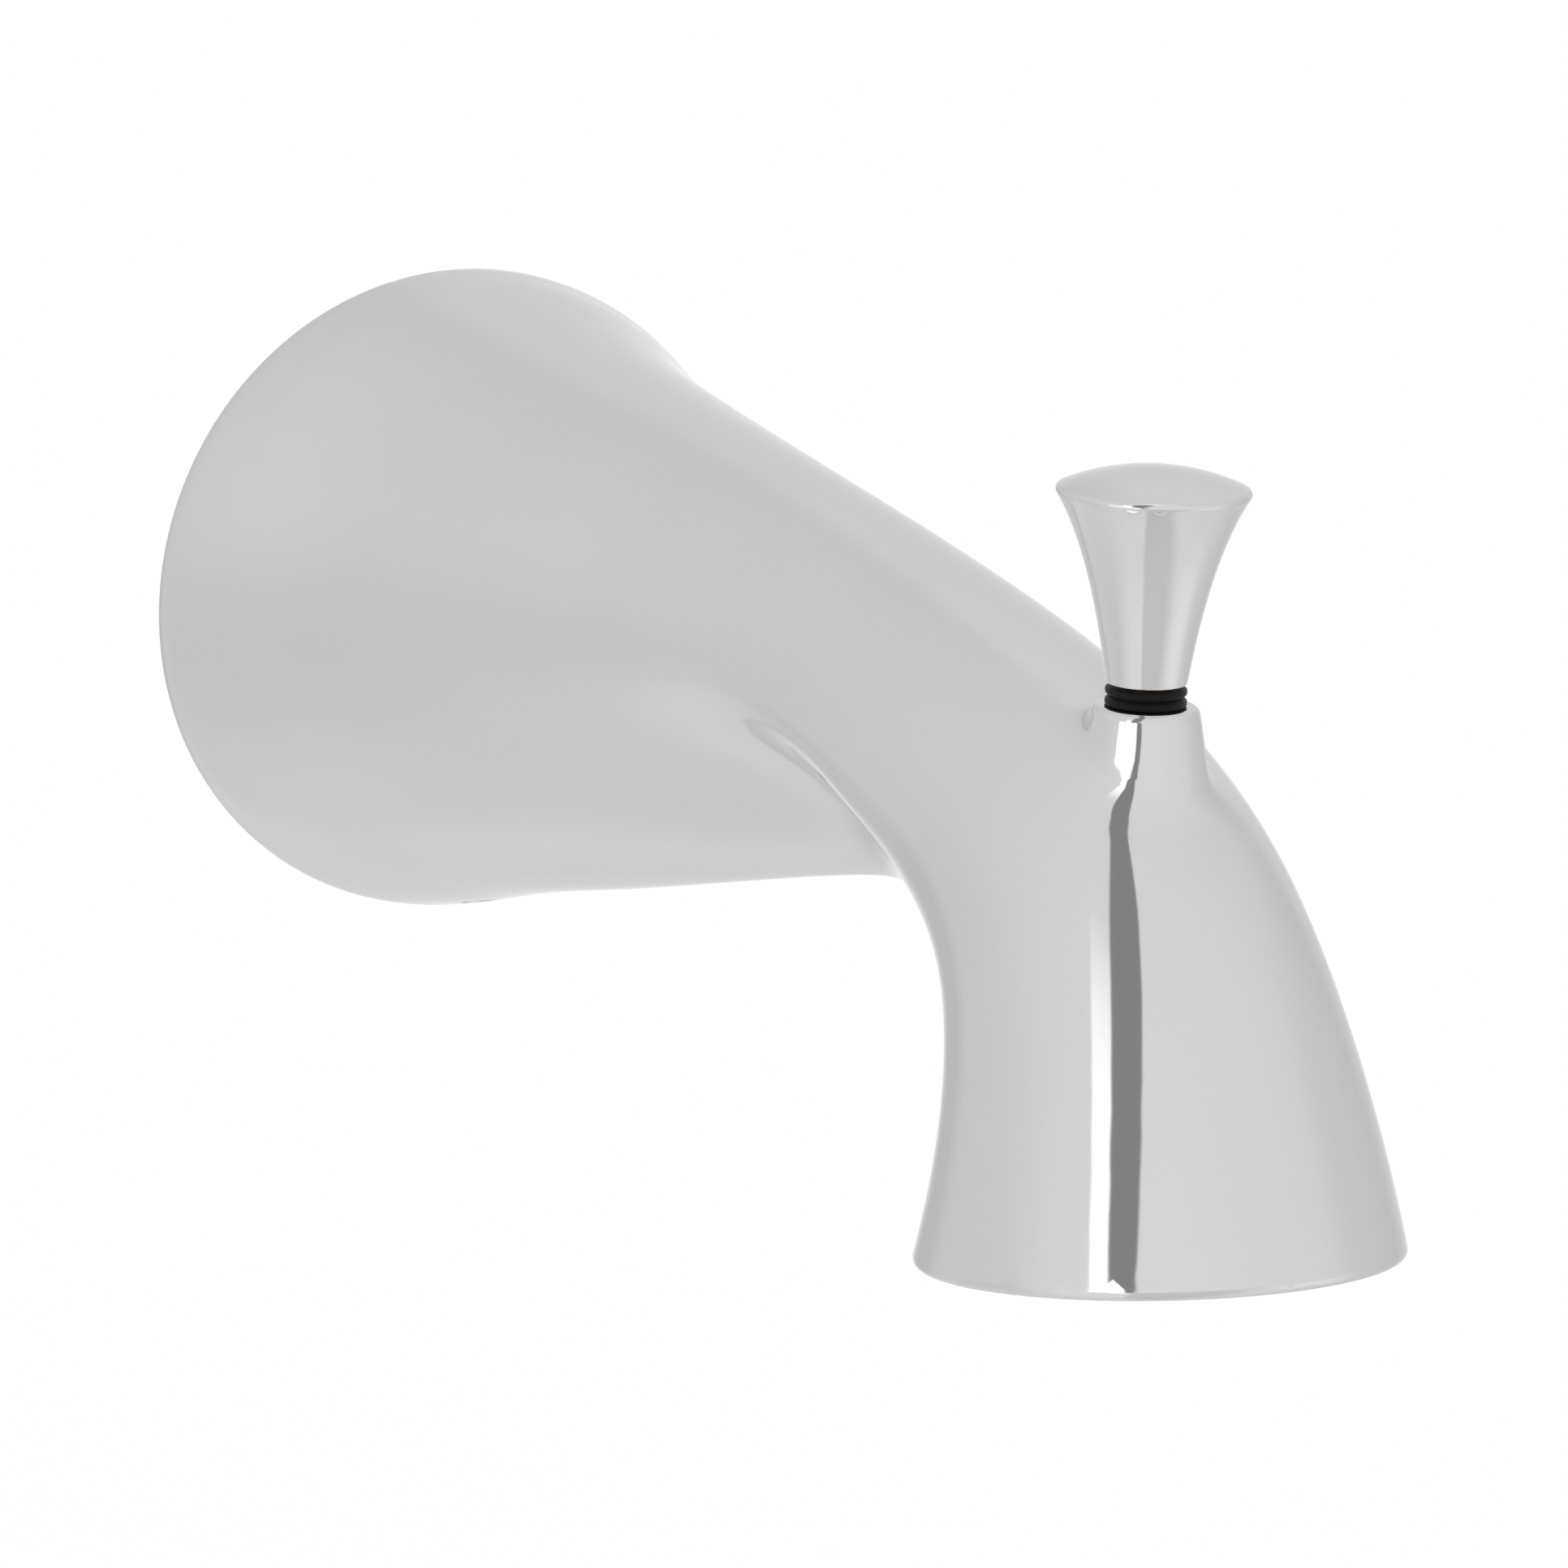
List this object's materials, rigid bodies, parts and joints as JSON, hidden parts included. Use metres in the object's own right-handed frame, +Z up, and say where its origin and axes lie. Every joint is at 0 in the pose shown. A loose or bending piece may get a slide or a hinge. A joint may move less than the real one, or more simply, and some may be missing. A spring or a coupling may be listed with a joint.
{
  "type": "bath spout",
  "caption": "Wall-mounted bath spout in polished chrome, flared at the wall, with a keeled arm, a round downward mouth and a pull-up knob that diverts the water to a shower.",
  "frame": {"origin": "middle of the bell's wall face, on the axis of the tube that the spout slips over", "axes": "+Z up; +Y into the wall along the tube, so the spout reaches out along -Y; X from side to side"},
  "size_m": [0.072, 0.1798, 0.0809],
  "materials": {
    "spout_body": "polished chrome plate on a hollow casting",
    "inlet_sleeve": "turned brass, not plated",
    "sleeve_washer": "flat black rubber",
    "inlet_o_ring_rear": "black rubber",
    "inlet_o_ring_front": "black rubber",
    "set_screw": "plain steel",
    "stem_bushing": "black moulded plastic, slightly glossy",
    "stem_o_ring": "black rubber",
    "diverter_stem": "drawn brass rod",
    "diverter_gate": "pale grey moulded plastic",
    "gate_facing": "black rubber",
    "gate_nut": "turned brass",
    "diverter_knob": "polished chrome plate"
  },
  "bodies": {
    "spout": {"spout_body": "spout_body", "inlet_sleeve": "inlet_sleeve", "sleeve_washer": "sleeve_washer", "inlet_o_ring_rear": "inlet_o_ring_rear", "inlet_o_ring_front": "inlet_o_ring_front", "set_screw": "set_screw", "stem_bushing": "stem_bushing", "stem_o_ring": "stem_o_ring"},
    "diverter": {"diverter_stem": "diverter_stem", "diverter_gate": "diverter_gate", "gate_facing": "gate_facing", "gate_nut": "gate_nut", "diverter_knob": "diverter_knob"}
  },
  "joints": [
    {"name": "diverter_lift", "type": "slide", "parent": "spout", "child": "diverter", "axis": [0, 0, 1], "range_m": [0, 0.013]}
  ]
}
